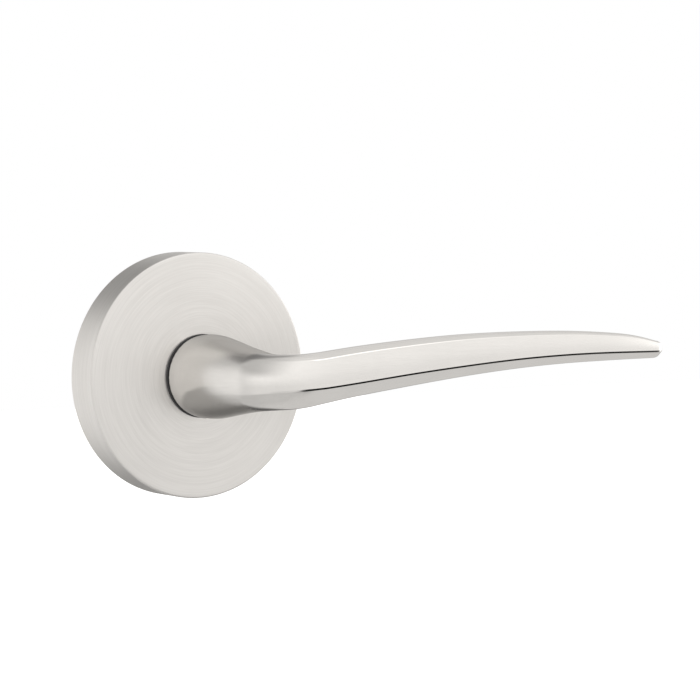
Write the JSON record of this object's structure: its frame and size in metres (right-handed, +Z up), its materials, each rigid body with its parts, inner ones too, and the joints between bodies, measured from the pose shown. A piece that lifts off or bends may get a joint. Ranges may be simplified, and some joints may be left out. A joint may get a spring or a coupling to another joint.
{
  "type": "lever handle lockset",
  "caption": "Outside trim of a lever handle lockset: round satin rose, sprung lever with a tapered arched blade, square spindle and through-bolt posts.",
  "frame": {"origin": "spindle axis where it crosses the door face, which is the back of the rose", "axes": "+Z up, +Y into the door along the spindle, +X along the lever's blade at rest"},
  "size_m": [0.1635, 0.1031, 0.0666],
  "materials": {
    "satin_stainless": "satin, brushed: turned lines on the rose, lengthwise grain on the lever",
    "black_nylon": "matt black moulded nylon",
    "natural_nylon": "matt off-white moulded nylon",
    "zinc_casting": null,
    "zinc_plate": "bright zinc-plated steel",
    "machined_steel": "turned and milled steel",
    "spring_steel": "oil-tempered spring wire and sheet",
    "black_oxide": "black oxide on steel",
    "bronze": "sintered bronze"
  },
  "bodies": {
    "rose": {"rose_cover": "satin_stainless", "neck_bush": "black_nylon", "mounting_base": "zinc_casting", "cover_snap_ring": "spring_steel", "backing_plate": "zinc_plate", "backing_plate_screws": "zinc_plate", "mounting_posts": "zinc_plate", "stop_pins": "machined_steel", "stop_sleeves": "natural_nylon", "rear_bush": "bronze", "return_spring": "spring_steel"},
    "lever": {"spring_driver": "machined_steel", "lever_hub": "machined_steel", "lever_handle": "satin_stainless", "thrust_washer": "zinc_plate", "disc_spring": "spring_steel", "retaining_ring": "black_oxide", "spindle": "zinc_plate", "grub_screw": "black_oxide"}
  },
  "joints": [
    {"name": "lever_turn", "type": "hinge", "parent": "rose", "child": "lever", "pos_m": [0, 0, 0], "axis": [0, 1, 0], "range_deg": [0, 50], "stiffness_Nm_per_rad": 0.67, "springref_deg": -40.11, "deforming": ["return_spring"]}
  ]
}
